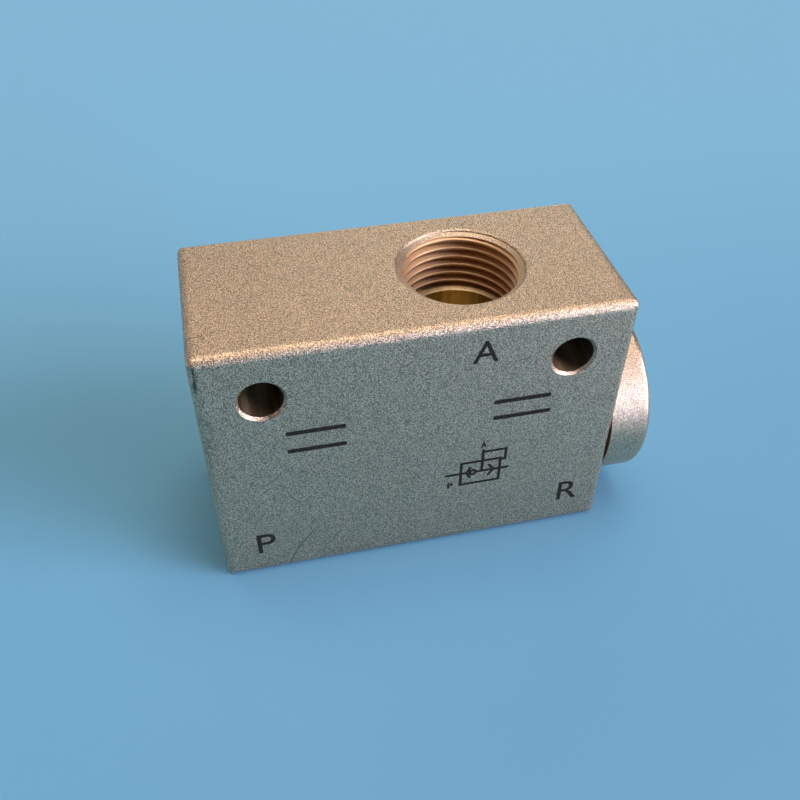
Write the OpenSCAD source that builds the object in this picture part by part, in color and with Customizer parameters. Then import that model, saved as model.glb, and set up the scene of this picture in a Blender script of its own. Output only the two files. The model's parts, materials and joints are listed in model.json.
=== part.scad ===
// Quick exhaust valve: a block with three threaded ports and a free rubber shuttle inside.
// The origin is the middle of the underside. +X runs along the block towards the exhaust
// cap, +Z runs up towards the cylinder port, and the lettered face looks along -Y.

/* [Block] */
// Length of the block without its cap
body_l = 56; // [54:0.5:66]
// Depth of the block, front to back
body_w = 25; // [25:0.5:32]
// Height of the block
body_h = 40.5; // [39:0.5:48]
// Radius of the block's outer edges
edge_r = 1.2; // [0.4:0.1:2]

/* [Ports] */
// Major diameter of the port threads
port_d = 16.66; // [14:0.01:17]
// Radius of the rounded rim at each port's mouth
port_rim_r = 0.5; // [0.1:0.05:0.8]
// Threaded depth of the supply and exhaust ports
port_depth = 11; // [8:0.5:12]
// Threaded depth of the cylinder port
cylinder_port_depth = 8.5; // [7:0.5:10]
// Distance of the cylinder port from the middle of the block, towards the cap
cylinder_port_x = 8; // [6:0.25:8.5]
// Diameter of the smooth bore under the cylinder port
drop_d = 14.4; // [10:0.2:15]
// Angle of the cone that the drill leaves at the foot of each port thread
drill_angle = 118; // [90:1:140]

/* [Mounting holes] */
// Diameter of the two cross holes
hole_d = 5.5; // [4.2:0.1:6]
// Distance between the cross holes
hole_pitch = 40; // [40:0.5:46]
// Distance of the cross holes below the top
hole_drop = 7.5; // [6:0.5:9]
// Width of the chamfer at each end of a cross hole
hole_chamfer = 0.4; // [0.1:0.05:0.6]

/* [Chamber] */
// Diameter of the main bore that the shuttle slides in
chamber_d = 20; // [19.5:0.1:20.5]
// Diameter of the passage from the supply port to the chamber
supply_d = 10; // [8:0.5:10.5]
// Height of the supply seat above the chamber's end wall
seat_h = 1; // [0.5:0.1:2]
// Width of the flat land on each seat
seat_land = 0.6; // [0.3:0.1:1]
// Width of each seat's wall at its foot
seat_wall = 1.5; // [1.2:0.1:2]
// How far the exhaust seat stands in under the cylinder port's smooth bore
seat_reach = 1; // [0:0.25:3]

/* [Exhaust cap] */
// How far the cap's head stays inside the block's depth at the front and back
cap_inset = 0; // [0:0.05:0.5]
// Height of the cap's lowest point above the underside
cap_rise = 2.75; // [1:0.25:3.5]
// Length of the cap's head
cap_l = 6; // [4:0.5:12]
// Radius of the head's outer edge
cap_edge_r = 1; // [0.3:0.1:2]
// Major diameter of the thread that holds the cap
cap_thread_d = 22; // [21.5:0.1:22.5]
// Length of the thread that holds the cap
cap_thread_l = 7; // [5:0.5:8]
// Free length behind the thread, where the tap runs out
cap_relief = 0.3; // [0.2:0.1:1]
// Diameter of the passage through the cap's nose
exhaust_d = 10; // [8:0.5:10.5]

/* [Seal ring] */
// Thickness of the ring's round section
ring_cord_d = 1.8; // [1.2:0.1:2]
// Side room that the ring has in its groove
ring_room = 0.5; // [0.2:0.1:0.8]
// Width of the collar on each side of the groove
ring_collar = 0.8; // [0.5:0.1:1.2]

/* [Shuttle] */
// Length of the shuttle along the bore
shuttle_l = 7; // [6.5:0.25:9]
// Distance that the shuttle slides between its two seats
shuttle_travel = 3; // [1.5:0.25:4]
// Diameter of the pad that closes the exhaust seat
pad_d = 13.2; // [12.5:0.1:13.8]
// Diameter of the shuttle behind its lip
web_d = 16.4; // [16:0.1:17]
// Thickness of the web that joins the pad and the lip
web_t = 2.5; // [2:0.25:3.5]
// Thickness of the lip
lip_t = 0.8; // [0.5:0.05:1]
// Distance of the lip's free edge from the pad's face
lip_setback = 1; // [0.5:0.25:2]
// Width of the bevel on the shuttle's rims
shuttle_bevel = 0.4; // [0.2:0.05:0.6]

/* [Fits] */
// Radial room in the cap's thread and round its plug
thread_gap = 0.05; // [0.02:0.01:0.1]
// Radial room between the shuttle's lip and the main bore
lip_gap = 0.06; // [0.02:0.01:0.1]
// Radial room on each side of the seal ring
ring_gap = 0.02; // [0:0.01:0.05]

/* [Hidden] */
$fn = 96;

// How far a cut runs past the face that it opens
over = 1;

// Ball at each of the block's corners, a little larger than the edges that meet there
corner_ball_r = 1.06 * edge_r;

port_r = port_d / 2;
hole_r = hole_d / 2;
drop_r = drop_d / 2;
supply_r = supply_d / 2;
exhaust_r = exhaust_d / 2;
chamber_r = chamber_d / 2;
cap_r = body_w / 2 - cap_inset;
cap_thread_r = cap_thread_d / 2;
ring_cord_r = ring_cord_d / 2;
pad_r = pad_d / 2;
web_r = web_d / 2;
lip_r = chamber_r - lip_gap;

// Height of the main bore's axis above the underside
axis_h = cap_r + cap_rise;

// Places along the main bore, from the cap end back to the supply end
cap_face_x = body_l / 2;
thread_end_x = cap_face_x - cap_thread_l;
groove_w = ring_cord_d + ring_room;
plug_l = groove_w + 2 * ring_collar;
ring_x = thread_end_x - plug_l / 2;
exhaust_seat_x = cylinder_port_x - drop_r + seat_reach;
shuttle_x = exhaust_seat_x - shuttle_travel - shuttle_l;
chamber_floor_x = shuttle_x - seat_h;
supply_face_x = -body_l / 2;

// Height of the cone between a radius and a smaller one, as a drill leaves it
function drill_cone(outer_r, inner_r) = (outer_r - inner_r) / tan(drill_angle / 2);

// Turns what is drawn along Z so that it runs along X in the main bore
module along_bore() {
    translate([0, 0, axis_h]) rotate([0, 90, 0]) children();
}

// Rectangle about the origin with rounded corners
module rounded_rectangle(w, h, r) {
    square([w - 2 * r, h], center = true);
    square([w, h - 2 * r], center = true);
    for (x = [-1, 1], y = [-1, 1])
        translate([x * (w / 2 - r), y * (h / 2 - r)]) circle(r);
}

// Block with all its edges rounded, standing on the origin
module edged_block() {
    intersection() {
        linear_extrude(body_h) rounded_rectangle(body_l, body_w, edge_r);
        translate([0, body_w / 2, body_h / 2]) rotate([90, 0, 0])
            linear_extrude(body_w) rounded_rectangle(body_l, body_h, edge_r);
        translate([-body_l / 2, 0, body_h / 2]) rotate([90, 0, 90])
            linear_extrude(body_l) rounded_rectangle(body_w, body_h, edge_r);
    }
}

// Pointed tip that three rounded edges leave where they meet, outside the corner's ball
module corner_tip() {
    difference() {
        cube(2 * edge_r);
        sphere(corner_ball_r);
    }
}

// The block with its corners rounded too
module rounded_block() {
    difference() {
        edged_block();
        for (x = [0, 1], y = [0, 1], z = [0, 1])
            translate([(2 * x - 1) * (body_l / 2 - edge_r),
                       (2 * y - 1) * (body_w / 2 - edge_r),
                       z * (body_h - 2 * edge_r) + edge_r])
                mirror([1 - x, 0, 0]) mirror([0, 1 - y, 0]) mirror([0, 0, 1 - z]) corner_tip();
    }
}

// Profile that rounds the rim of a port whose face is at zero, with the bore below it
module port_rim() {
    difference() {
        translate([0, -port_rim_r]) square([port_r + port_rim_r, port_rim_r + over]);
        translate([port_r + port_rim_r, -port_rim_r]) circle(port_rim_r);
    }
}

// Supply port, passage, chamber and cap thread, as one turned shape
module main_bore() {
    port_end_x = supply_face_x + port_depth;
    along_bore() rotate_extrude() {
        translate([0, supply_face_x]) mirror([0, 1]) port_rim();
        polygon([
            [0, supply_face_x - over],
            [port_r, supply_face_x - over],
            [port_r, port_end_x],
            [supply_r, port_end_x + drill_cone(port_r, supply_r)],
            [supply_r, shuttle_x],
            [supply_r + seat_land, shuttle_x],
            [supply_r + seat_wall, chamber_floor_x],
            [chamber_r, chamber_floor_x],
            [chamber_r, thread_end_x - cap_relief],
            [cap_thread_r, thread_end_x - cap_relief],
            [cap_thread_r, cap_face_x + over],
            [0, cap_face_x + over],
        ]);
    }
}

// Cylinder port and the smooth bore under it, down into the chamber
module cylinder_bore() {
    port_end_z = body_h - cylinder_port_depth;
    translate([cylinder_port_x, 0, 0]) rotate_extrude() {
        translate([0, body_h]) port_rim();
        polygon([
            [0, axis_h],
            [drop_r, axis_h],
            [drop_r, port_end_z - drill_cone(port_r, drop_r)],
            [port_r, port_end_z],
            [port_r, body_h + over],
            [0, body_h + over],
        ]);
    }
}

// One cross hole, through the block from front to back, with both mouths chamfered
module cross_hole() {
    half_w = body_w / 2;
    mouth_r = hole_r + hole_chamfer + over;
    rotate([90, 0, 0]) rotate_extrude() polygon([
        [0, -half_w - over],
        [mouth_r, -half_w - over],
        [hole_r, -half_w + hole_chamfer],
        [hole_r, half_w - hole_chamfer],
        [mouth_r, half_w + over],
        [0, half_w + over],
    ]);
}

// Blasted metal block
module body() {
    color("#b39c80") difference() {
        rounded_block();
        main_bore();
        cylinder_bore();
        for (side = [-1, 1])
            translate([side * hole_pitch / 2, 0, body_h - hole_drop]) cross_hole();
    }
}

// Outer profile of the cap's head, with its front edge rounded
module head_profile() {
    square([cap_r, cap_l - cap_edge_r]);
    square([cap_r - cap_edge_r, cap_l]);
    translate([cap_r - cap_edge_r, cap_l - cap_edge_r]) circle(cap_edge_r);
}

// Threaded shank, grooved plug and nose, from the head's back to the exhaust seat
module stem_profile() {
    shank_r = cap_thread_r - thread_gap;
    plug_r = chamber_r - thread_gap;
    groove_r = chamber_r - ring_cord_d - 2 * ring_gap;
    nose_r = exhaust_r + seat_wall;
    plug_end_x = thread_end_x - plug_l;
    seat_bevel = seat_wall - seat_land;
    polygon([
        [0, exhaust_seat_x],
        [exhaust_r + seat_land, exhaust_seat_x],
        [nose_r, exhaust_seat_x + seat_bevel],
        [nose_r, plug_end_x],
        [plug_r, plug_end_x],
        [plug_r, ring_x - groove_w / 2],
        [groove_r, ring_x - groove_w / 2],
        [groove_r, ring_x + groove_w / 2],
        [plug_r, ring_x + groove_w / 2],
        [plug_r, thread_end_x],
        [shank_r, thread_end_x],
        [shank_r, cap_face_x],
        [0, cap_face_x],
    ]);
}

// Exhaust port and the passage through the nose
module exhaust_bore() {
    outer_x = cap_face_x + cap_l;
    port_end_x = outer_x - port_depth;
    rotate_extrude() {
        translate([0, outer_x]) port_rim();
        polygon([
            [0, exhaust_seat_x - over],
            [exhaust_r, exhaust_seat_x - over],
            [exhaust_r, port_end_x - drill_cone(port_r, exhaust_r)],
            [port_r, port_end_x],
            [port_r, outer_x + over],
            [0, outer_x + over],
        ]);
    }
}

// Turned cap that carries the exhaust port and the exhaust seat
module exhaust_cap() {
    color("#c2ad92") along_bore() difference() {
        union() {
            translate([0, 0, cap_face_x]) rotate_extrude() head_profile();
            rotate_extrude() stem_profile();
        }
        exhaust_bore();
    }
}

// Rubber ring in the groove of the cap's plug
module seal_ring() {
    color("#1c1c1c") along_bore() translate([0, 0, ring_x])
        rotate_extrude() translate([chamber_r - ring_gap - ring_cord_r, 0]) circle(ring_cord_r);
}

// Rubber shuttle: a flat face for the supply seat, a pad for the exhaust seat and a lip
// that lies against the bore and opens towards the cap
module shuttle() {
    lip_end = shuttle_l - lip_setback;
    lip_flare = (lip_r - web_r) / (lip_end - shuttle_bevel);
    lip_root_r = web_r + (web_t - shuttle_bevel) * lip_flare - lip_t;
    color("#262626") along_bore() translate([0, 0, shuttle_x]) rotate_extrude() polygon([
        [0, 0],
        [web_r - shuttle_bevel, 0],
        [web_r, shuttle_bevel],
        [lip_r, lip_end],
        [lip_r - lip_t, lip_end],
        [lip_root_r, web_t],
        [pad_r, web_t],
        [pad_r, shuttle_l - shuttle_bevel],
        [pad_r - shuttle_bevel, shuttle_l],
        [0, shuttle_l],
    ]);
}

body();
exhaust_cap();
seal_ring();
shuttle();
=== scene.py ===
"""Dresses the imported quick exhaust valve: blasted coat, cut ports, threads, printed marks and a stage."""

import json
import logging
import math
from collections.abc import Callable, Iterator
from contextlib import contextmanager
from dataclasses import dataclass
from enum import Enum

import bmesh
import bpy
from mathutils import Matrix, Vector

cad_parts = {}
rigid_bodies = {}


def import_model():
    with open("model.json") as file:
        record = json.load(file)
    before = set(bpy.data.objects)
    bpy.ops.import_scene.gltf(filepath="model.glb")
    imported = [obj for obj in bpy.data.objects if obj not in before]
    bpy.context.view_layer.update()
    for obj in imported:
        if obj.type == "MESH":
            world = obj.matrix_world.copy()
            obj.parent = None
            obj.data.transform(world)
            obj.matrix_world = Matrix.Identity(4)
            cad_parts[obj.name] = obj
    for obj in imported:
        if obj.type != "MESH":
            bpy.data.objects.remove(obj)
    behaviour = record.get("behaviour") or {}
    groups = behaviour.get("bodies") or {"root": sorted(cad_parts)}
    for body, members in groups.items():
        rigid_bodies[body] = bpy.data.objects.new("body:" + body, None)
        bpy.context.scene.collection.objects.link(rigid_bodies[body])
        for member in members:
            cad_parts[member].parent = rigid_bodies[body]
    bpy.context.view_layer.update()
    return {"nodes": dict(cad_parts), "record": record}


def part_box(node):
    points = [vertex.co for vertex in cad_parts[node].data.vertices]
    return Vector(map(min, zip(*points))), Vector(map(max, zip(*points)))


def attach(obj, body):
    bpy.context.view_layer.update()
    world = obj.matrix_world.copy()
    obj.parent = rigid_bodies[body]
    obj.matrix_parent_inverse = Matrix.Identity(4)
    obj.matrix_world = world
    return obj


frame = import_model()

MM = 0.001
INCH = 25.4 * MM
VALVE = "valve"
BLOCK_SLOT = "block_metal"
CAP_SLOT = "cap_metal"
LOG = logging.getLogger("quick_exhaust_valve")

# Every noise is turned, so that its grid doesn't show along the block's faces
NOISE_TURN = (0.5, 0.8, 0.3)
NOISE_MIDDLE = 0.5

# The share of a fine line's width that is at full strength
LINE_CORE = 1 / 3

# How far the cut metal of a port reaches past its wall, and a length past either end of the valve
CUT_EDGE = 0.07 * MM
THROUGH = 60 * MM

Colour = tuple[float, float, float, float]
Triple = tuple[float, float, float]
Point = tuple[float, float]
Piece = bpy.types.Object
Socket = bpy.types.NodeSocket
Material = bpy.types.Material


class Axis(Enum):
    """The direction that a drilled passage runs in, by the index of its coordinate."""

    X = 0
    Y = 1
    Z = 2


class Face(Enum):
    """A worn face of the block, by the two axes that lie in it."""

    FRONT = (Axis.X, Axis.Z)
    TOP = (Axis.X, Axis.Y)


class Octaves(Enum):
    """How many finer layers a noise has."""

    NONE = 0.0
    SOME = 2.0
    MANY = 3.0


class Blend(Enum):
    """How a second colour goes over a first."""

    COVER = "MIX"
    ADD = "ADD"


class Joining(Enum):
    """What another solid does to a piece."""

    ADD = "UNION"
    CUT = "DIFFERENCE"


class Port(Enum):
    """The generic letter printed beside each port."""

    SUPPLY = "P"
    CYLINDER = "A"
    EXHAUST = "R"


# Shader expressions


class Value:
    """A shader socket that takes part in Python arithmetic, adding Math nodes as it goes."""

    def __init__(self, shader: "Shader", socket: Socket) -> None:
        """Keeps the socket and the shader that it belongs to."""
        self.shader = shader
        self.socket = socket

    def math(self, operation: str, *operands: "Value | float") -> "Value":
        """Adds one Math node.

        Args:
            operation: The Math node's operation.
            operands: The values of its sockets, in order.

        Returns:
            The node's result.
        """
        node = self.shader.node("ShaderNodeMath", {"operation": operation}, dict(enumerate(operands)))
        return Value(self.shader, node.outputs[0])

    def __add__(self, other: "Value | float") -> "Value":
        """Sum."""
        return self.math("ADD", self, other)

    __radd__ = __add__

    def __sub__(self, other: "Value | float") -> "Value":
        """Difference."""
        return self.math("SUBTRACT", self, other)

    def __rsub__(self, other: float) -> "Value":
        """Difference from a number."""
        return self.math("SUBTRACT", other, self)

    def __mul__(self, other: "Value | float") -> "Value":
        """Product."""
        return self.math("MULTIPLY", self, other)

    __rmul__ = __mul__

    def __truediv__(self, other: "Value | float") -> "Value":
        """Quotient."""
        return self.math("DIVIDE", self, other)

    def __pow__(self, power: float) -> "Value":
        """Power."""
        return self.math("POWER", self, power)

    def __abs__(self) -> "Value":
        """Size without its sign."""
        return self.math("ABSOLUTE", self)

    def __or__(self, other: "Value | float") -> "Value":
        """Union of two masks."""
        return self.math("MAXIMUM", self, other)

    def wave(self, length: float) -> "Value":
        """Sine wave along the value, one wave to each length."""
        return self.math("SINE", self * (math.tau / length))

    def swing(self, width: float) -> "Value":
        """A noise's distance from its middle, times a width."""
        return (self - NOISE_MIDDLE) * width

    def between(self, low: float, high: float) -> "Value":
        """Eases the value into a share.

        Args:
            low: Where the share is 0.
            high: Where it is 1.

        Returns:
            The share, which rises smoothly between the two.
        """
        settings = {"interpolation_type": "SMOOTHSTEP"}
        node = self.shader.node("ShaderNodeMapRange", settings, {0: self, 1: low, 2: high})
        return Value(self.shader, node.outputs[0])

    def band(self, low: float, high: float, edge: float) -> "Value":
        """Mask of the stretch from low to high, eased over edge at both ends."""
        return self.between(low - edge, low + edge) * (1 - self.between(high - edge, high + edge))


class Shader:
    """A node tree that is written as expressions."""

    MIX_FACTOR = 0
    MIX_FIRST = 6
    MIX_SECOND = 7
    MIX_RESULT = 2

    def __init__(self, owner: Material | bpy.types.World) -> None:
        """Clears the owner's tree for new nodes.

        Args:
            owner: The material or the world that is written.
        """
        owner.use_nodes = True
        self.tree = owner.node_tree
        self.tree.nodes.clear()
        self.place = self.node("ShaderNodeTexCoord").outputs["Object"]

    def node(self, kind: str, settings: dict | None = None, sockets: dict | None = None) -> bpy.types.Node:
        """Adds any node.

        Args:
            kind: The node's type name.
            settings: The node's own properties, which are set first.
            sockets: The numbers, colours or links of its inputs, by name or index.

        Returns:
            The new node.
        """
        node = self.tree.nodes.new(kind)
        for name, setting in (settings or {}).items():
            setattr(node, name, setting)
        for key, given in (sockets or {}).items():
            if isinstance(given, Value):
                self.tree.links.new(given.socket, node.inputs[key])
            elif isinstance(given, Socket):
                self.tree.links.new(given, node.inputs[key])
            else:
                node.inputs[key].default_value = given
        return node

    def parts(self, vector: Socket) -> list[Value]:
        """The three coordinates of a vector, in order."""
        node = self.node("ShaderNodeSeparateXYZ", None, {0: vector})
        return [Value(self, output) for output in node.outputs]

    def noise(self, size: float, octaves: Octaves, stretch: Triple = (1, 1, 1)) -> Value:
        """Cloudy noise on the object's own coordinates.

        Args:
            size: The width of a cloud in metres.
            octaves: How many finer layers are added.
            stretch: How much longer than wide a cloud is along each axis.

        Returns:
            The noise, from 0 to 1 and about 0.5 on average.
        """
        scale = tuple(1 / (size * length) for length in stretch)
        sockets = {"Vector": self.place, "Rotation": NOISE_TURN, "Scale": scale}
        place = self.node("ShaderNodeMapping", {"vector_type": "POINT"}, sockets)
        sockets = {"Vector": place.outputs[0], "Scale": 1.0, "Detail": octaves.value}
        return Value(self, self.node("ShaderNodeTexNoise", None, sockets).outputs[0])

    def mix(
        self,
        factor: Value,
        first: Colour | Socket,
        second: Colour | Socket,
        blend: Blend = Blend.COVER,
    ) -> Socket:
        """Blends two colours.

        Args:
            factor: 0 for the first colour, 1 for the second.
            first: A colour or a link.
            second: A colour or a link.
            blend: How the second colour goes over the first.

        Returns:
            The blended colour's socket.
        """
        sockets = {self.MIX_FACTOR: factor, self.MIX_FIRST: first, self.MIX_SECOND: second}
        node = self.node("ShaderNodeMix", {"data_type": "RGBA", "blend_type": blend.value}, sockets)
        return node.outputs[self.MIX_RESULT]

    def bump(self, height: Value, depth: float) -> Socket:
        """Relief from a height of 0 to 1.

        Args:
            height: The relief's shape.
            depth: How high 1 stands, in metres.

        Returns:
            The bent normal's socket.
        """
        sockets = {"Strength": 1.0, "Distance": depth, "Height": height}
        return self.node("ShaderNodeBump", None, sockets).outputs["Normal"]

    def surface(self, **inputs: Value | Colour | float | Socket) -> None:
        """Ends a material in one Principled shader.

        Args:
            inputs: The shader's sockets, with underscores for the spaces in their names.
        """
        sockets = {name.replace("_", " "): given for name, given in inputs.items()}
        principled = self.node("ShaderNodeBsdfPrincipled", None, sockets)
        self.node("ShaderNodeOutputMaterial", None, {"Surface": principled.outputs["BSDF"]})


def distance(across: Value, up: Value) -> Value:
    """How far a place lies from an axis, from its two steps aside."""
    return (across * across + up * up) ** 0.5


# Mesh tools


def pick(*pieces: Piece) -> None:
    """Selects only these objects and makes the first one active.

    Args:
        pieces: The objects, or none to deselect everything.
    """
    for other in bpy.context.scene.objects:
        other.select_set(False)
    for piece in pieces:
        piece.select_set(True)
    bpy.context.view_layer.objects.active = pieces[0] if pieces else None


@contextmanager
def editing(piece: Piece) -> Iterator[None]:
    """Edit mode on one piece, with everything in it selected at the start.

    Args:
        piece: The object that is edited inside the with block.
    """
    pick(piece)
    bpy.ops.object.mode_set(mode="EDIT")
    bpy.ops.mesh.select_mode(type="VERT")
    bpy.ops.mesh.select_all(action="SELECT")
    yield
    bpy.ops.object.mode_set(mode="OBJECT")


def select_points(piece: Piece, test: Callable[[Vector], bool]) -> None:
    """Selects the points of the mesh in edit mode that pass a test of their place.

    Args:
        piece: The object in edit mode.
        test: Takes a point and says whether it is selected.
    """
    bpy.ops.mesh.select_all(action="DESELECT")
    mesh = bmesh.from_edit_mesh(piece.data)
    for point in mesh.verts:
        point.select_set(test(point.co))
    mesh.select_flush_mode()
    bmesh.update_edit_mesh(piece.data)


def apply_modifier(piece: Piece, kind: str, **settings: object) -> None:
    """Adds one modifier and applies it.

    Args:
        piece: The object that gets it.
        kind: The modifier's type.
        settings: The modifier's properties.
    """
    pick(piece)
    modifier = piece.modifiers.new(kind.title(), kind)
    for name, setting in settings.items():
        setattr(modifier, name, setting)
    bpy.ops.object.modifier_apply(modifier=modifier.name)


def combine(piece: Piece, other: Piece, joining: Joining) -> None:
    """Adds another solid to a piece or cuts it out, and removes it.

    Args:
        piece: The piece that is kept.
        other: The solid that is used up.
        joining: Whether it is added or cut out.
    """
    apply_modifier(piece, "BOOLEAN", operation=joining.value, solver="MANIFOLD", object=other)
    bpy.data.objects.remove(other)


def settle(piece: Piece) -> None:
    """Puts a piece's place, turn and scale into its mesh."""
    pick(piece)
    bpy.ops.object.transform_apply(location=True, rotation=True, scale=True)


def close_mesh(piece: Piece, merge: float) -> None:
    """Merges doubles, fills open ends and turns the faces outwards.

    Args:
        piece: The piece whose mesh is closed.
        merge: The distance within which points are merged, in metres.
    """
    with editing(piece):
        bpy.ops.mesh.remove_doubles(threshold=merge)
        bpy.ops.mesh.select_all(action="SELECT")
        bpy.ops.mesh.fill_holes(sides=0)
        bpy.ops.mesh.select_all(action="SELECT")
        bpy.ops.mesh.normals_make_consistent(inside=False)


def dress(piece: Piece, material: Material) -> None:
    """Gives every face of a piece one material."""
    piece.data.materials.clear()
    piece.data.materials.append(material)


def carry(piece: Piece) -> None:
    """Makes a new piece ride on the valve and reports it.

    Args:
        piece: The new piece.
    """
    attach(piece, VALVE)
    LOG.info("%s: %d faces, rides on %s", piece.name, len(piece.data.polygons), VALVE)


def mount(name: str) -> dict:
    """One of the record's mounts, by its name."""
    return next(entry for entry in frame["record"]["mounts"] if entry["name"] == name)


# Finishes


class Finish:
    """What a surface looks like. Each kind of finish has its own paint method."""

    def material(self, name: str, *details: object) -> Material:
        """Makes a material in this finish.

        Args:
            name: The material's name.
            details: What the kind's paint method takes after the shader.

        Returns:
            The material.
        """
        material = bpy.data.materials.new(name)
        self.paint(Shader(material), *details)
        return material

    def paint(self, shader: Shader, *details: object) -> None:
        """Writes the finish into a new material's tree."""
        raise NotImplementedError


@dataclass(frozen=True)
class CutWall:
    """Bare metal that was cut after the coat. The cross holes' walls are given a nearly black colour
    instead, as painted shade.

    Attributes:
        shade: The colour of the streaks along it.
        rings: How deep the cutter's rings are, as a share of the coat's grain.
    """

    tint: Colour
    shade: Colour
    roughness: float
    rings: float


TAPPED = CutWall((0.66, 0.44, 0.27, 1), (0.54, 0.34, 0.19, 1), 0.45, 0.10)
BORED = CutWall((0.98, 0.80, 0.34, 1), (0.70, 0.53, 0.18, 1), 0.34, 0.05)
CONED = CutWall((0.50, 0.32, 0.17, 1), (0.38, 0.24, 0.125, 1), 0.45, 0.05)
# Painted shade: the cross holes' walls are drawn nearly black for the shade deep inside them
DRILLED_SHADE = CutWall((0.15, 0.095, 0.050, 1), (0.07, 0.045, 0.022, 1), 0.55, 0.60)


@dataclass(frozen=True)
class Bore:
    """A passage, or a stretch of one, whose wall shows cut metal.

    Attributes:
        axis: The direction that it runs in.
        centre: A point on its axis.
        radius: The outer edge of the cut metal.
        start, end: Its ends along its axis.
        wall: What its wall looks like.
        edge: How far the cut metal fades into the coat on each side.
    """

    axis: Axis
    centre: Vector
    radius: float
    start: float
    end: float
    wall: CutWall
    edge: float = 0.02 * MM

    def mask(self, shader: Shader) -> Value:
        """Marks the passage.

        Args:
            shader: The material's tree.

        Returns:
            1 inside the passage and 0 outside it.
        """
        place = shader.parts(shader.place)
        along = place[self.axis.value]
        aside = [place[other.value] - self.centre[other.value] for other in Axis if other != self.axis]
        inside = 1 - distance(*aside).between(self.radius - self.edge, self.radius + self.edge)
        return inside * along.band(self.start, self.end, self.edge)


@dataclass(frozen=True)
class Scratch:
    """A straight fine scratch, in millimetres on its face.

    Attributes:
        face: The face that it is on.
        start, end: Its ends.
        weight: How much it darkens the coat.
    """

    face: Face
    start: Point
    end: Point
    width: float
    weight: float

    def mask(self, shader: Shader) -> Value:
        """Draws the scratch.

        Args:
            shader: The material's tree.

        Returns:
            Its weight on the scratch and 0 off it, at every depth.
        """
        across, up = (shader.parts(shader.place)[axis.value] for axis in self.face.value)
        start = Vector(self.start) * MM
        run = Vector(self.end) * MM - start
        along = run.normalized()
        forward = (across - start.x) * along.x + (up - start.y) * along.y
        aside = abs((up - start.y) * along.x - (across - start.x) * along.y)
        line = 1 - aside.between(self.width * LINE_CORE * MM, self.width * MM)
        return line * forward.band(0, run.length, self.width * MM) * self.weight


@dataclass(frozen=True)
class Grime:
    """A grubby patch beside the front face's left edge, in millimetres on that face.

    Attributes:
        reach: Where it starts to fade and where it ends, across the face.
        span: Its lower and upper ends.
        blotch: The width of its blotches.
        stretch: How much taller than wide they are.
        weight: How much it darkens the coat.
        contrast: The noise's heights between which its blotches start.
        fade: How far its ends fade.
    """

    reach: Point
    span: Point
    blotch: float
    stretch: float
    weight: float
    contrast: Point = (0.42, 0.62)
    fade: float = 1.0

    def mask(self, shader: Shader) -> Value:
        """Draws the patch.

        Args:
            shader: The material's tree.

        Returns:
            Its weight in the patch's blotches and 0 off them, at every depth.
        """
        x, _, z = shader.parts(shader.place)
        near = 1 - x.between(self.reach[0] * MM, self.reach[1] * MM)
        blotch = shader.noise(self.blotch * MM, Octaves.MANY, (1, 1, self.stretch)).between(*self.contrast)
        return near * z.band(self.span[0] * MM, self.span[1] * MM, self.fade * MM) * blotch * self.weight


@dataclass(frozen=True)
class HandlingWear:
    """The few scratches and smudges on the block's front and top, in millimetres on its faces.

    Attributes:
        arc_centre: The middle of the curved scratch's circle.
        arc_span: The scratch's lower and upper ends.
        arc_fade: How far it fades past the circle's middle.
        face_depth: How far behind a face its marks end.
    """

    node: str
    arc_centre: Point = (-5.14, -3.2)
    arc_radius: float = 14.36
    arc_span: Point = (0.9, 7.3)
    arc_width: float = 0.17
    arc_weight: float = 0.55
    arc_fade: float = 1.0
    scratches: tuple[Scratch, ...] = (
        Scratch(Face.FRONT, (11.8, 33.55), (14.7, 34.05), 0.09, 0.45),
        Scratch(Face.TOP, (-28.0, -8.1), (-25.8, -7.8), 0.16, 0.40),
    )
    grime: tuple[Grime, ...] = (
        Grime((-27.6, -24.8), (25.5, 31.5), 1.1, 1.0, 0.40),
        Grime((-27.2, -26.6), (35.8, 39.8), 0.5, 8.0, 0.90),
    )
    face_depth: float = 0.6

    def on(self, face: Face, shader: Shader) -> Value:
        """Marks one face of the block.

        Args:
            face: The face.
            shader: The material's tree.

        Returns:
            1 on that face and 0 deeper in the block.
        """
        low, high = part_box(self.node)
        _, y, z = shader.parts(shader.place)
        depth = self.face_depth * MM
        if face is Face.TOP:
            return z.between(high[Axis.Z.value] - depth, high[Axis.Z.value] - depth / 2)
        return 1 - y.between(low[Axis.Y.value] + depth / 2, low[Axis.Y.value] + depth)

    def arc(self, shader: Shader) -> Value:
        """Draws the long curved scratch low on the left.

        Args:
            shader: The material's tree.

        Returns:
            Its weight on the scratch and 0 off it, at every depth.
        """
        x, _, z = shader.parts(shader.place)
        out = x - self.arc_centre[0] * MM
        up = z - self.arc_centre[1] * MM
        aside = abs(distance(out, up) - self.arc_radius * MM)
        line = 1 - aside.between(self.arc_width * LINE_CORE * MM, self.arc_width * MM)
        span = z.band(self.arc_span[0] * MM, self.arc_span[1] * MM, self.arc_width * MM)
        left = 1 - out.between(0, self.arc_fade * MM)
        return line * span * left * self.arc_weight

    def mask(self, shader: Shader) -> Value:
        """Draws all of the wear, each mark on its own face.

        Args:
            shader: The material's tree.

        Returns:
            How much the wear darkens the coat.
        """
        marks = self.arc(shader) * self.on(Face.FRONT, shader)
        for patch in self.grime:
            marks = marks | patch.mask(shader) * self.on(Face.FRONT, shader)
        for scratch in self.scratches:
            marks = marks | scratch.mask(shader) * self.on(scratch.face, shader)
        return marks


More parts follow.
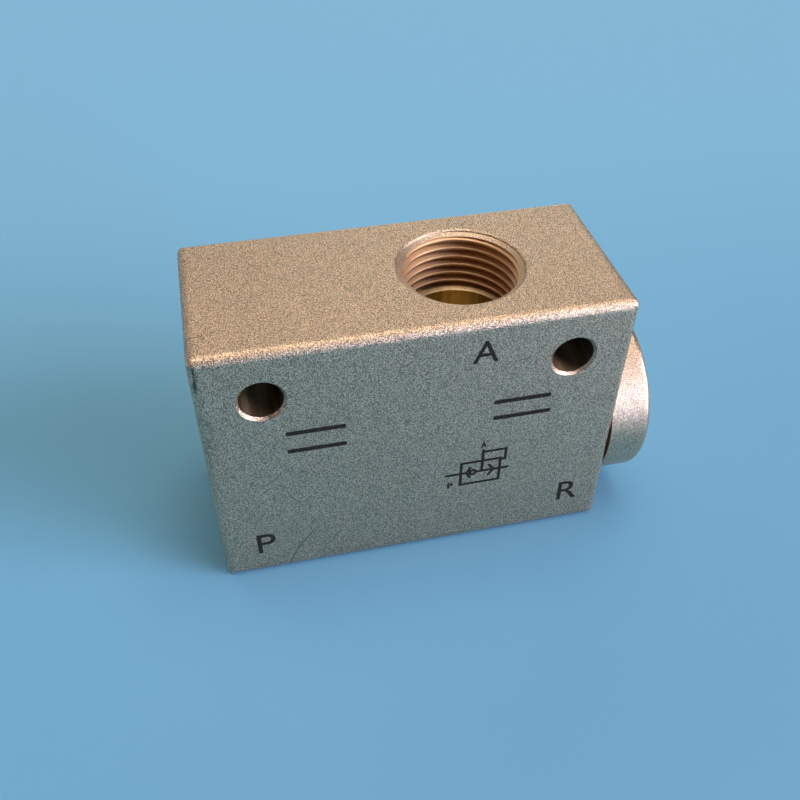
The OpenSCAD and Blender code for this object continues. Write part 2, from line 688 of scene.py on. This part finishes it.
@dataclass(frozen=True)
class BlastedCoat(Finish):
    """Pale champagne coat on finely blasted metal.

    Attributes:
        dark: The colour of the grain's pits.
        pale: The colour of the grain's tips.
        soil: The colour of the grime in scratches and smudges.
        grain, relief: The width and the height of the grain.
        fleck: The width of one dark or pale fleck.
        contrast: The noise's heights between which dark flecks turn pale.
        cloud: The width of the faint clouds in the coat.
        cloud_weight: How much the clouds shift the coat's colour.
        ring_pitch: The distance between the rings that a cutter leaves.
        streak: The width of the streaks along a cut wall.
        streak_stretch: How much longer than wide a streak is.
        streak_contrast: The noise's heights between which a streak starts.
    """

    dark: Colour = (0.26, 0.182, 0.124, 1)
    pale: Colour = (0.96, 0.672, 0.456, 1)
    soil: Colour = (0.06, 0.055, 0.05, 1)
    grain: float = 0.115 * MM
    relief: float = 0.07 * MM
    fleck: float = 0.125 * MM
    contrast: Point = (0.40, 0.60)
    cloud: float = 5 * MM
    cloud_weight: float = 0.15
    roughness: float = 0.36
    roughness_swing: float = 0.2
    ring_pitch: float = 0.24 * MM
    streak: float = 1.3 * MM
    streak_stretch: float = 12.0
    streak_contrast: Point = (0.35, 0.65)

    def paint(self, shader: Shader, bores: list[Bore], wear: HandlingWear | None = None) -> None:
        """Paints the coat of one piece.

        Args:
            shader: The new material's tree.
            bores: The passages whose walls show cut metal.
            wear: The scratches and smudges, if the piece has any.
        """
        grain = shader.noise(self.grain, Octaves.SOME)
        cloud = shader.noise(self.cloud, Octaves.MANY)
        fleck = shader.noise(self.fleck, Octaves.NONE)
        tips = fleck.between(*self.contrast) + cloud.swing(self.cloud_weight)
        colour = shader.mix(tips, self.dark, self.pale)
        if wear is not None:
            colour = shader.mix(wear.mask(shader), colour, self.soil)
        roughness = self.roughness + grain.swing(self.roughness_swing)
        height = grain
        place = shader.parts(shader.place)
        for bore in bores:
            cut = bore.mask(shader)
            stretch = tuple(self.streak_stretch if axis == bore.axis else 1 for axis in Axis)
            streak = shader.noise(self.streak, Octaves.SOME, stretch).between(*self.streak_contrast)
            rings = place[bore.axis.value].wave(self.ring_pitch) * bore.wall.rings
            colour = shader.mix(cut, colour, shader.mix(streak, bore.wall.tint, bore.wall.shade))
            roughness = roughness * (1 - cut) + cut * bore.wall.roughness
            height = height * (1 - cut) + rings * cut
        normal = shader.bump(height, self.relief)
        shader.surface(Base_Color=colour, Metallic=1.0, Roughness=roughness, Normal=normal)


# The cap's grain is shallower and softer than the block's
BLOCK_COAT = BlastedCoat()
CAP_COAT = BlastedCoat(relief=0.05 * MM, contrast=(0.2, 0.8), roughness=0.33)


@dataclass(frozen=True)
class CutThread(Finish):
    """Dull metal of a tapped thread, with a blasted countersink at its mouth.

    Attributes:
        crest: The colour of the ridge's top.
        flank: The colour of its sides.
        root: The colour of the painted shade at the foot of its sides, in the valleys between ridges.
        dark: The colour of the countersink's pits.
        pale: The colour of its tips.
        contrast: The noise's heights between which pits turn to tips.
        shade_rise: The shares of the ridge's height between which the painted valley shade fades into the
            flank's colour.
        top: The shares of the ridge's height between which its top starts.
        top_weight: How much of the crest's colour the ridge's top takes.
        cloud: The width of the clouds in which the crest's colour spreads.
        cloud_weight: How much of the crest's colour a cloud takes.
        grain, relief: The width and the height of the countersink's grain.
        thread_relief: The height of the thread's grain, as a share of the countersink's.
        edge: How far the countersink fades into the thread.
    """

    crest: Colour = (0.65, 0.415, 0.225, 1)
    flank: Colour = (0.86, 0.535, 0.285, 1)
    # Painted shade: the root colour darkens the valleys between the ridges
    root: Colour = (0.34, 0.18, 0.07, 1)
    dark: Colour = (0.36, 0.255, 0.175, 1)
    pale: Colour = (0.84, 0.595, 0.41, 1)
    contrast: Point = (0.35, 0.65)
    shade_rise: Point = (0.05, 0.40)
    top: Point = (0.80, 0.95)
    top_weight: float = 0.6
    cloud: float = 1.6 * MM
    cloud_contrast: Point = (0.3, 0.7)
    cloud_weight: float = 0.4
    roughness: float = 0.52
    blasted_roughness: float = 0.40
    roughness_swing: float = 0.1
    grain: float = 0.12 * MM
    relief: float = 0.06 * MM
    thread_relief: float = 0.02
    edge: float = 0.03 * MM

    def paint(self, shader: Shader, port: "PortThread") -> None:
        """Paints the metal of one thread.

        Args:
            shader: The new material's tree.
            port: The thread, which says where its countersink is.
        """
        grain = shader.noise(self.grain, Octaves.MANY)
        cloud = shader.noise(self.cloud, Octaves.SOME).between(*self.cloud_contrast)
        radial, beyond = port.countersunk(shader)
        rise = (port.radius - radial) / port.height
        # Painted shade: the colour darkens from the flank down to the root, for the shade in the valleys
        # under each ridge
        colour = shader.mix(rise.between(*self.shade_rise), self.root, self.flank)
        worn = rise.between(*self.top) * self.top_weight + cloud * self.cloud_weight
        colour = shader.mix(worn, colour, self.crest)
        blasted = 1 - beyond.between(self.edge * LINE_CORE, self.edge)
        tips = grain.between(*self.contrast)
        colour = shader.mix(blasted, colour, shader.mix(tips, self.dark, self.pale))
        roughness = self.roughness + blasted * (self.blasted_roughness - self.roughness)
        roughness = roughness + grain.swing(self.roughness_swing)
        height = grain * (self.thread_relief + blasted * (1 - self.thread_relief))
        normal = shader.bump(height, self.relief)
        shader.surface(Base_Color=colour, Metallic=1.0, Roughness=roughness, Normal=normal)


@dataclass(frozen=True)
class MouldedRubber(Finish):
    """Black moulded rubber with an uneven skin and a faint bloom."""

    tint: Colour
    bloom: Colour = (0.085, 0.083, 0.08, 1)
    bloom_size: float = 2.2 * MM
    bloom_contrast: Point = (0.45, 0.8)
    bloom_weight: float = 0.6
    roughness: float = 0.55
    roughness_swing: float = 0.3
    skin: float = 0.25 * MM
    relief: float = 0.006 * MM

    def paint(self, shader: Shader) -> None:
        """Paints the rubber.

        Args:
            shader: The new material's tree.
        """
        skin = shader.noise(self.skin, Octaves.MANY)
        bloom = shader.noise(self.bloom_size, Octaves.MANY).between(*self.bloom_contrast)
        colour = shader.mix(bloom * self.bloom_weight, self.tint, self.bloom)
        roughness = self.roughness + skin.swing(self.roughness_swing)
        normal = shader.bump(skin, self.relief)
        shader.surface(Base_Color=colour, Metallic=0.0, Roughness=roughness, Normal=normal)


@dataclass(frozen=True)
class PrintInk(Finish):
    """Thin black ink that lets the blasted grain through in places.

    Attributes:
        thin: Its colour where it is thin.
        contrast: The noise's heights between which it thins out.
        gloss: How strongly it mirrors, where 0.5 is usual.
    """

    tint: Colour = (0.021, 0.015, 0.010, 1)
    thin: Colour = (0.085, 0.068, 0.052, 1)
    contrast: Point = (0.52, 0.75)
    grain: float = 0.17 * MM
    relief: float = 0.006 * MM
    roughness: float = 0.5
    roughness_swing: float = 0.2
    gloss: float = 0.08

    def paint(self, shader: Shader) -> None:
        """Paints the ink.

        Args:
            shader: The new material's tree.
        """
        grain = shader.noise(self.grain, Octaves.SOME)
        colour = shader.mix(grain.between(*self.contrast), self.tint, self.thin)
        normal = shader.bump(grain, self.relief)
        roughness = self.roughness + grain.swing(self.roughness_swing)
        shader.surface(
            Base_Color=colour,
            Metallic=0.0,
            Roughness=roughness,
            Normal=normal,
            Specular_IOR_Level=self.gloss,
        )


@dataclass(frozen=True)
class PaleCard(Finish):
    """The pale blue card that the valve stands on.

    Attributes:
        span: Where the painted light falloff starts to turn the card from its darker near colour to its
            lighter far one, and where it ends.
        cloud: The width of its faint clouds.
    """

    # Painted light: the near colour is darker than the far one, for the light falling off towards the front
    near: Colour = (0.137, 0.350, 0.505, 1)
    far: Colour = (0.184, 0.418, 0.565, 1)
    span: Point = (-30 * MM, 120 * MM)
    cloud: float = 9 * MM
    cloud_weight: float = 0.05
    roughness: float = 0.8

    def paint(self, shader: Shader) -> None:
        """Paints the card.

        Args:
            shader: The new material's tree.
        """
        # Painted light: the card is painted lighter towards the back, a falloff of the lamps' light across
        # it
        depth = shader.parts(shader.place)[Axis.Y.value].between(*self.span)
        cloud = shader.noise(self.cloud, Octaves.MANY) * self.cloud_weight
        colour = shader.mix(depth + cloud, self.near, self.far)
        shader.surface(Base_Color=colour, Metallic=0.0, Roughness=self.roughness)


# Pieces


@dataclass
class PortThread:
    """The rounded inside thread of one port, wound from its floor up to its mouth.

    Attributes:
        name: The piece's name.
        mount: The record's mount that gives the port's axis, radius and length.
        node: The CAD node that the port is cut in.
        slot: The record's slot for the finish; not used.
        start_turn: Where the thread's inner end lies round the axis, in degrees.
        pitch: The distance from ridge to ridge.
        height: How far a ridge stands in from the port's wall.
        sunk: How far its foot is sunk in the wall.
        sink: How far the countersink is wider than the port at the mouth.
        sink_slope: How much the countersink drops for each step inwards.
        land: How deep the ring at the mouth is that the countersink is cut in.
        land_sunk: How far that ring is sunk in the wall.
        run_out: How far the thread starts below the port's floor.
        foot_share: The width of a ridge's foot, as a share of the pitch.
        crest_share: The width of its top before rounding, as a share of the pitch.
        crest_round: How far the rounding of its top reaches.
        cone_above: How far the countersink's cutter reaches past the mouth.
    """

    name: str
    mount: str
    node: str
    slot: str
    start_turn: float
    pitch: float = INCH / 19
    height: float = 0.78 * MM
    sunk: float = 0.07 * MM
    sink: float = 0.55 * MM
    sink_slope: float = 0.6
    land: float = 0.65 * MM
    land_sunk: float = 0.04 * MM
    run_out: float = 0.64 * MM
    foot_share: float = 0.80
    crest_share: float = 0.19
    crest_round: float = 0.09 * MM
    round_steps: int = 5
    merge: float = 0.0035 * MM
    steps_a_turn: int = 72
    cone_sides: int = 144
    cone_above: float = 2 * MM
    smooth_angle: float = math.radians(28)

    def __post_init__(self) -> None:
        """Reads the port's place from the frame."""
        entry = mount(self.mount)
        self.axis = Vector(entry["axis"])
        self.radius = entry["dims"]["r_mm"] * MM
        low, high = (Vector(corner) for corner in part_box(self.node))
        place = Vector(entry["pos_m"])
        out = max(corner.dot(self.axis) for corner in (low, high)) - place.dot(self.axis)
        self.mouth = place + self.axis * out
        self.floor = out + entry["dims"]["length_mm"] * MM / 2

    def countersunk(self, shader: Shader) -> tuple[Value, Value]:
        """Measures places against the countersink.

        Args:
            shader: The material's tree.

        Returns:
            The distance from the port's axis, and how far a place lies beyond the countersink's cone.
        """
        place = shader.parts(shader.place)
        out = [place[axis.value] - self.mouth[axis.value] for axis in Axis]
        along = sum(out[axis.value] * self.axis[axis.value] for axis in Axis)
        radial = (sum(part * part for part in out) - along * along) ** 0.5
        return radial, radial - along / self.sink_slope - (self.radius + self.sink)

    def build(self, finish: CutThread) -> None:
        """Models, places and dresses the thread.

        Args:
            finish: The thread's finish.
        """
        ridge = self.profile()
        self.wind(ridge)
        self.countersink(ridge)
        turn = Vector((0, 0, 1)).rotation_difference(self.axis).to_matrix().to_4x4()
        ridge.matrix_world = Matrix.Translation(self.mouth) @ turn
        settle(ridge)
        bpy.ops.object.shade_smooth_by_angle(angle=self.smooth_angle)
        dress(ridge, finish.material(self.name, self))
        carry(ridge)

    def profile(self) -> Piece:
        """The ridge's outline in the plane of the axis, as edges only.

        Returns:
            The outline, at its radius and at the thread's inner end.
        """
        outer = self.radius + self.sunk
        inner = self.radius - self.height
        foot = self.pitch * self.foot_share * (outer - inner) / self.height
        pick()
        bpy.ops.mesh.primitive_plane_add(size=1)
        ridge = bpy.context.active_object
        ridge.name = self.name
        ridge.data.name = self.name
        with editing(ridge):
            bpy.ops.transform.resize(value=(outer - inner, foot, 1))
            select_points(ridge, lambda point: point.x < 0)
            bpy.ops.transform.resize(value=(1, self.crest_share * self.pitch / foot, 1))
            bpy.ops.mesh.bevel(affect="VERTICES", offset=self.crest_round, segments=self.round_steps)
            bpy.ops.mesh.select_all(action="SELECT")
            bpy.ops.transform.rotate(value=math.pi / 2, orient_axis="X", center_override=(0, 0, 0))
            bpy.ops.transform.translate(value=((outer + inner) / 2, 0, 0))
            bpy.ops.mesh.delete(type="ONLY_FACE")
        return ridge

    def wind(self, ridge: Piece) -> None:
        """Winds the outline up to the mouth as a right-hand thread and closes its ends.

        Args:
            ridge: The outline, which becomes the thread.
        """
        start = self.floor + self.run_out
        turns = start / self.pitch
        steps = round(self.steps_a_turn * turns)
        apply_modifier(
            ridge,
            "SCREW",
            axis="Z",
            angle=math.tau * turns,
            screw_offset=self.pitch * turns,
            iterations=1,
            steps=steps,
            render_steps=steps,
        )
        close_mesh(ridge, self.merge)
        ridge.rotation_euler.z = math.radians(self.start_turn)
        ridge.location.z = -start
        settle(ridge)

    def countersink(self, ridge: Piece) -> None:
        """Closes the thread with a ring at the mouth and cuts the countersink through both.

        Args:
            ridge: The wound thread.
        """
        pick()
        bpy.ops.mesh.primitive_cylinder_add(
            vertices=self.cone_sides,
            radius=self.radius + self.land_sunk,
            depth=self.land,
            location=(0, 0, -self.land / 2),
        )
        combine(ridge, bpy.context.active_object, Joining.ADD)
        rim = self.radius + self.sink
        below = (self.sink + self.height + self.sunk) * self.sink_slope
        pick()
        bpy.ops.mesh.primitive_cone_add(
            vertices=self.cone_sides,
            radius1=rim - below / self.sink_slope,
            radius2=rim + self.cone_above / self.sink_slope,
            depth=below + self.cone_above,
            location=(0, 0, (self.cone_above - below) / 2),
        )
        combine(ridge, bpy.context.active_object, Joining.CUT)


@dataclass(frozen=True)
class Stroke:
    """One straight printed line on the front face, between two points in millimetres."""

    start: Point
    end: Point
    width: float


@dataclass(frozen=True)
class Letter:
    """One printed letter, by its port and by its box in millimetres on the front face.

    Attributes:
        size: Its width and height.
        weight: How much its strokes are thickened, as a share of its type size.
    """

    port: Port
    centre: Point
    size: Point
    weight: float = 0.004


@dataclass(frozen=True)
class FlowSymbol:
    """The flow symbol's measures, in millimetres on the front face.

    Attributes:
        left, right, low, high: The box.
        middle: The height of the line through the box.
        inlet, outlet: The outer ends of that line.
        seat: The point of the check valve's seat.
        seat_back, seat_half: How far right of its point the seat's ends lie, and how far above and below.
        ball, ball_radius: The check valve's ball.
        tip: The arrow's point.
        tip_back, tip_half: The same for the arrow, whose ends lie left of its point.
        branch, top: The line up to the cylinder port.
        loop_right, loop_low, loop_high: The line that runs back to the box.
        letter_centres: The tiny letters at the symbol's three ends.
        letter_size, letter_weight: Their size and their thickening.
        line_width: The width of every line.
    """

    left: float = 5.98
    right: float = 11.6
    low: float = 11.84
    high: float = 16.12
    middle: float = 14.08
    inlet: float = 3.95
    outlet: float = 12.75
    seat: float = 6.78
    seat_back: float = 0.5
    seat_half: float = 0.9
    ball: float = 7.7
    ball_radius: float = 0.42
    tip: float = 10.75
    tip_back: float = -0.7
    tip_half: float = 0.95
    branch: float = 9.0
    top: float = 18.15
    loop_right: float = 12.3
    loop_low: float = 15.88
    loop_high: float = 17.88
    letter_centres: tuple[tuple[Port, Point], ...] = (
        (Port.CYLINDER, (8.98, 19.3)),
        (Port.SUPPLY, (4.5, 11.95)),
        (Port.EXHAUST, (12.7, 12.5)),
    )
    letter_size: Point = (0.82, 1.08)
    letter_weight: float = 0.045
    line_width: float = 0.42

    def chevron(self, point: float, back: float, half: float) -> tuple[Point, ...]:
        """Two short lines that meet in a point on the middle line."""
        behind = point + back
        return (behind, self.middle + half), (point, self.middle), (behind, self.middle - half)

    def strokes(self) -> list[Stroke]:
        """Every straight line of the symbol.

        Returns:
            The box first, and then the middle line, seat, arrow, branch and loop.
        """
        base = (self.left, self.low)
        loop = [(self.branch, self.loop_high), (self.loop_right, self.loop_high)]
        loop += [(self.loop_right, self.loop_low), (self.right, self.loop_low)]
        paths = [
            (base, (self.right, self.low), (self.right, self.high), (self.left, self.high), base),
            ((self.inlet, self.middle), (self.seat, self.middle)),
            ((self.ball + self.ball_radius, self.middle), (self.outlet, self.middle)),
            self.chevron(self.seat, self.seat_back, self.seat_half),
            self.chevron(self.tip, self.tip_back, self.tip_half),
            ((self.branch, self.middle), (self.branch, self.top)),
            loop,
        ]
        ends = [pair for path in paths for pair in zip(path, path[1:])]
        return [Stroke(first, last, self.line_width) for first, last in ends]

    def letters(self) -> list[Letter]:
        """The tiny letters at the symbol's three ends."""
        places = self.letter_centres
        return [Letter(port, centre, self.letter_size, self.letter_weight) for port, centre in places]


@dataclass
class FrontPrint:
    """The port letters, the paired rules and the flow symbol on the front face.

    Places are in millimetres on the face: across from the middle, and up from the underside.

    Attributes:
        film: How thick the ink is.
        sunk: How far it is sunk in the face.
        corner_share: How far a line's corners are rounded, as a share of its width.
    """

    film: float = 0.03 * MM
    sunk: float = 0.012 * MM
    merge: float = 0.0003 * MM
    rule_width: float = 0.70
    corner_share: float = 0.25
    corner_steps: int = 2
    ring_sides: int = 32
    letters: tuple[Letter, ...] = (
        Letter(Port.CYLINDER, (8.10, 35.93), (3.36, 3.46)),
        Letter(Port.SUPPLY, (-21.90, 6.21), (2.61, 3.96)),
        Letter(Port.EXHAUST, (22.82, 6.70), (3.15, 3.92)),
    )
    flow: FlowSymbol = FlowSymbol()

    def __post_init__(self) -> None:
        """Takes the face from the frame and sets out the rules."""
        self.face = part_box("body")[0][Axis.Y.value]
        self.rules = [
            Stroke((-17.2, 26.94), (-10.2, 26.94), self.rule_width),
            Stroke((-17.2, 23.80), (-10.2, 23.80), self.rule_width),
            Stroke((10.15, 26.98), (17.3, 26.98), self.rule_width),
            Stroke((10.25, 24.11), (17.55, 24.11), self.rule_width),
        ]

    def build(self, material: Material) -> None:
        """Models every mark and gives it the ink.

        Args:
            material: The ink.
        """
        for letter in self.letters:
            self.finish(self.letter(letter), f"port_letter_{letter.port.value}", material)
        for number, rule in enumerate(self.rules, start=1):
            self.finish(self.stroke(rule), f"printed_rule_{number}", material)
        self.finish(self.symbol(), "flow_symbol", material)

    def finish(self, mark: Piece, name: str, material: Material) -> None:
        """Names, dresses and carries one mark.

        Args:
            mark: The mark's solid.
            name: The name that it gets.
            material: The ink.
        """
        mark.name = name
        mark.data.name = name
        dress(mark, material)
        carry(mark)

    def stand(self, mark: Piece, centre: Point) -> None:
        """Stands a mark that was made flat, facing up, on the front face.

        Args:
            mark: The mark's solid, made about the origin.
            centre: Its place on the face, in millimetres.
        """
        mark.rotation_euler.x = math.pi / 2
        mark.location = (centre[0] * MM, self.face + self.sunk, centre[1] * MM)
        settle(mark)

    def raise_film(self) -> None:
        """Gives the flat mark in edit mode the ink's thickness."""
        bpy.ops.mesh.select_all(action="SELECT")
        bpy.ops.mesh.extrude_region_move(TRANSFORM_OT_translate={"value": (0, 0, self.film)})
        bpy.ops.mesh.select_all(action="SELECT")
        bpy.ops.mesh.normals_make_consistent(inside=False)

    def letter(self, given: Letter) -> Piece:
        """Sets one letter to its measured box.

        Args:
            given: The letter and its box.

        Returns:
            The letter as a thin solid.
        """
        pick()
        bpy.ops.object.text_add()
        text = bpy.context.active_object
        text.data.body = given.port.value
        text.data.extrude = self.film / 2
        text.data.offset = given.weight
        pick(text)
        bpy.ops.object.convert(target="MESH")
        letter = bpy.context.active_object
        points = [point.co for point in letter.data.vertices]
        low = Vector([min(point[axis.value] for point in points) for axis in Axis])
        high = Vector([max(point[axis.value] for point in points) for axis in Axis])
        wide, tall = (high - low).xy
        scale = Matrix.Diagonal((given.size[0] * MM / wide, given.size[1] * MM / tall, 1, 1))
        lift = Vector((0, 0, self.film / 2))
        letter.data.transform(Matrix.Translation(lift) @ scale @ Matrix.Translation(-(low + high) / 2))
        close_mesh(letter, self.merge)
        self.stand(letter, given.centre)
        return letter

    def stroke(self, line: Stroke) -> Piece:
        """Draws one straight line with slightly rounded corners.

        Args:
            line: Its ends and width.

        Returns:
            The line as a thin solid.
        """
        start = Vector(line.start)
        run = Vector(line.end) - start
        pick()
        bpy.ops.mesh.primitive_plane_add(size=1)
        bar = bpy.context.active_object
        with editing(bar):
            bpy.ops.transform.resize(value=((run.length + line.width) * MM, line.width * MM, 1))
            bpy.ops.mesh.bevel(
                affect="VERTICES", offset=self.corner_share * line.width * MM, segments=self.corner_steps
            )
            self.raise_film()
        bar.rotation_euler.z = math.atan2(run.y, run.x)
        settle(bar)
        self.stand(bar, tuple(start + run / 2))
        return bar

    def ball(self) -> Piece:
        """Draws the little ball of the check valve as a ring.

        Returns:
            The ring as a thin solid.
        """
        width = self.flow.line_width
        outer = (self.flow.ball_radius + width / 2) * MM
        pick()
        bpy.ops.mesh.primitive_circle_add(vertices=self.ring_sides, radius=outer, fill_type="NGON")
        ring = bpy.context.active_object
        with editing(ring):
            bpy.ops.mesh.inset(thickness=width * MM)
            bpy.ops.mesh.delete(type="FACE")
            self.raise_film()
        self.stand(ring, (self.flow.ball, self.flow.middle))
        return ring

    def symbol(self) -> Piece:
        """Draws the flow symbol: box, check valve, arrow, lines and tiny port letters.

        Returns:
            The symbol as one thin solid.
        """
        lines = [self.stroke(line) for line in self.flow.strokes()]
        lines.append(self.ball())
        lines += [self.letter(letter) for letter in self.flow.letters()]
        symbol = lines[0]
        for line in lines[1:]:
            combine(symbol, line, Joining.ADD)
        return symbol


@dataclass
class ValveBlock:
    """The ported block, its two threads and its printed face.

    Attributes:
        hole_edge: How far the painted shade of a cross hole's wall reaches past that wall.
        chamber_radius: The outer edge of the chamber's cut metal.
        chamber_start: Where the chamber starts along the main bore.
        chamber_top: The height inside the chamber from which the cylinder port's walls count.
        throat_radius: The outer edge of the smooth bore under the cylinder port.
        cone_drop: How far the drill's cone reaches below the thread.
        cone_highlight: How far the painted highlight, a ring in the tapped metal's colour, reaches past the
            smooth bore at the cone's inner edge.
        thread_turns: Where each thread's inner end lies round its port, in degrees.
    """

    node: str = "body"
    hole_edge: float = 0.025 * MM
    chamber_radius: float = 11.05 * MM
    chamber_start: float = -10 * MM
    chamber_top: float = 16 * MM
    throat_radius: float = 7.22 * MM
    cone_drop: float = 1 * MM
    cone_highlight: float = 0.2 * MM
    thread_turns: tuple[tuple[str, float], ...] = (("cylinder_port", 93), ("supply_port", 40))

    def bores(self) -> list[Bore]:
        """The block's cut passages.

        Returns:
            The two ports, the chamber and the two cross holes.
        """
        supply = mount("supply_port")
        cylinder = mount("cylinder_port")
        holes = mount("mounting_holes")
        mouth = supply["dims"]["r_mm"] * MM + CUT_EDGE
        drop = Vector(cylinder["pos_m"])
        floor = drop.z - cylinder["dims"]["length_mm"] * MM / 2
        axis = Vector(supply["pos_m"])
        passages = [
            Bore(Axis.Z, drop, mouth, self.chamber_top, THROUGH, TAPPED),
            Bore(Axis.Z, drop, mouth, floor - self.cone_drop, floor, CONED),
            # Painted highlight: a lighter ring in the tapped colour along the drill cone's inner edge
            Bore(Axis.Z, drop, self.throat_radius + self.cone_highlight, floor - self.cone_drop, floor, TAPPED),
            Bore(Axis.Z, drop, self.throat_radius, self.chamber_top, floor, BORED),
            Bore(Axis.X, axis, mouth, -THROUGH, THROUGH, TAPPED),
            Bore(Axis.X, axis, self.chamber_radius, self.chamber_start, THROUGH, BORED),
        ]
        half = holes["dims"]["spacing_x_mm"] * MM / 2
        rim = holes["dims"]["hole_r_mm"] * MM
        for side in (-half, half):
            centre = Vector(holes["pos_m"]) + Vector((side, 0, 0))
            # Painted shade: the cross holes' walls take the nearly black drilled colour
            passages.append(Bore(Axis.Y, centre, rim + self.hole_edge, -THROUGH, THROUGH, DRILLED_SHADE))
        return passages

    def build(self, coat: BlastedCoat, thread: CutThread, ink: PrintInk) -> None:
        """Dresses the block and models what it carries.

        Args:
            coat: The block's coat.
            thread: The finish of its threads.
            ink: The finish of its marks.
        """
        wear = HandlingWear(self.node)
        dress(frame["nodes"][self.node], coat.material("block_coat", self.bores(), wear))
        LOG.info("%s dressed", self.node)
        for port, start_turn in self.thread_turns:
            PortThread(f"{port}_thread", port, self.node, BLOCK_SLOT, start_turn).build(thread)
        FrontPrint().build(ink.material("black_ink"))


@dataclass
class ExhaustCap:
    """The screwed-in cap and the thread of its port.

    Attributes:
        port: The record's mount for its port.
        start_turn: Where the thread's inner end lies round the port, in degrees.
    """

    node: str = "exhaust_cap"
    port: str = "exhaust_port"
    start_turn: float = 200

    def build(self, coat: BlastedCoat, thread: CutThread) -> None:
        """Dresses the cap and models its thread.

        Args:
            coat: The cap's coat.
            thread: The finish of its thread.
        """
        exhaust = mount(self.port)
        axis = Vector(exhaust["pos_m"])
        mouth = exhaust["dims"]["r_mm"] * MM + CUT_EDGE
        bores = [Bore(Axis.X, axis, mouth, -THROUGH, THROUGH, TAPPED)]
        dress(frame["nodes"][self.node], coat.material("cap_coat", bores))
        LOG.info("%s dressed", self.node)
        PortThread(f"{self.port}_thread", self.port, self.node, CAP_SLOT, self.start_turn).build(thread)


@dataclass
class RubberParts:
    """The shuttle and the cap's seal ring."""

    shuttle: MouldedRubber = MouldedRubber((0.022, 0.022, 0.023, 1))
    ring: MouldedRubber = MouldedRubber((0.012, 0.012, 0.013, 1), roughness=0.42)

    def build(self) -> None:
        """Dresses both pieces."""
        dress(frame["nodes"]["shuttle"], self.shuttle.material("shuttle_rubber"))
        dress(frame["nodes"]["seal_ring"], self.ring.material("ring_rubber"))
        LOG.info("shuttle and seal_ring dressed")


@dataclass(frozen=True)
class SoftPanel:
    """One soft panel of light, far away in one direction.

    Attributes:
        toward: The direction that it stands in.
        core: The angle from its middle within which it is at full strength, in degrees.
        reach: The angle at which it has faded out, in degrees.
        light: What it adds to the room's light at full strength.
    """

    toward: Triple
    core: float
    reach: float
    light: Colour

    def glow(self, shader: Shader) -> Value:
        """Draws the panel in the room.

        Args:
            shader: The world's tree.

        Returns:
            How much of the panel shows in each direction.
        """
        sight = shader.node("ShaderNodeTexCoord").outputs["Generated"]
        sockets = {0: sight, 1: Vector(self.toward).normalized()}
        node = shader.node("ShaderNodeVectorMath", {"operation": "DOT_PRODUCT"}, sockets)
        cosine = Value(shader, node.outputs["Value"])
        full, none = (math.cos(math.radians(angle)) for angle in (self.core, self.reach))
        return cosine.between(none, full)


@dataclass
class Studio:
    """The card, the lights and the camera.

    Attributes:
        floor_size: The card's width, in metres.
        room: The dim light from all round.
        backdrop: What the camera sees beyond the card.
        eye: Where the camera stands, in millimetres.
        tilt, roll, heading: How it is turned about X, Y and Z, in degrees.
        sensor, lens: Its sensor's width and its focal length, in millimetres.
        near: The nearest distance that it sees, in metres.
    """

    floor_size: float = 3.0
    room: Colour = (0.082, 0.080, 0.078, 1)
    backdrop: Colour = (0.60, 0.68, 0.72, 1)
    panels: tuple[SoftPanel, ...] = (
        SoftPanel((0.321, 0.936, 0.141), 7.6, 32.3, (1.21, 1.31, 1.29, 1)),
        SoftPanel((0.020, 0.131, 0.991), 15.3, 27.4, (2.32, 2.21, 2.04, 1)),
        SoftPanel((0.095, -0.007, 0.995), 9.2, 24.5, (2.15, 2.12, 1.94, 1)),
        SoftPanel((0.823, -0.416, 0.388), 7.7, 21.3, (11.4, 11.4, 14.6, 1)),
        SoftPanel((0.642, -0.760, 0.105), 10.2, 18.4, (6.4, 7.6, 11.0, 1)),
        SoftPanel((-0.990, -0.035, 0.137), 6.7, 17.3, (2.25, 2.01, 1.89, 1)),
        SoftPanel((-0.520, 0.749, 0.410), 8.0, 25.0, (0.85, 0.83, 0.80, 1)),
    )
    eye: Triple = (-21.259, -92.079, 105.841)
    tilt: float = 47.109
    roll: float = -0.3598
    heading: float = -12.6982
    sensor: float = 36.0
    lens: float = 39.786
    near: float = 0.005

    def build(self) -> None:
        """Adds the whole stage."""
        self.floor()
        self.sky()
        self.camera()
        bpy.context.scene.view_settings.view_transform = "Standard"

    def floor(self) -> None:
        """Lays the pale card under the valve."""
        pick()
        bpy.ops.mesh.primitive_plane_add(size=self.floor_size)
        card = bpy.context.active_object
        card.name = "pale_card"
        dress(card, PaleCard().material("pale_card"))

    def sky(self) -> None:
        """Surrounds the stage with a dim room and its soft panels of light."""
        world = bpy.data.worlds.new("soft_room")
        bpy.context.scene.world = world
        shader = Shader(world)
        light = self.room
        for panel in self.panels:
            light = shader.mix(panel.glow(shader), light, panel.light, Blend.ADD)
        seen = Value(shader, shader.node("ShaderNodeLightPath").outputs["Is Camera Ray"])
        light = shader.mix(seen, light, self.backdrop)
        background = shader.node("ShaderNodeBackground", None, {"Color": light})
        shader.node("ShaderNodeOutputWorld", None, {"Surface": background.outputs[0]})

    def camera(self) -> None:
        """Stands the camera where the photograph was taken from."""
        lens = bpy.data.cameras.new("camera")
        lens.sensor_width = self.sensor
        lens.lens = self.lens
        lens.clip_start = self.near
        stand = bpy.data.objects.new("camera", lens)
        stand.location = Vector(self.eye) * MM
        stand.rotation_euler = [math.radians(angle) for angle in (self.tilt, self.roll, self.heading)]
        bpy.context.scene.collection.objects.link(stand)
        bpy.context.scene.camera = stand


def main() -> None:
    """Builds the stage and every piece in order."""
    logging.basicConfig(level=logging.INFO, format="%(message)s")
    Studio().build()
    thread = CutThread()
    ValveBlock().build(BLOCK_COAT, thread, PrintInk())
    ExhaustCap().build(CAP_COAT, thread)
    RubberParts().build()


if __name__ == "__main__":
    main()
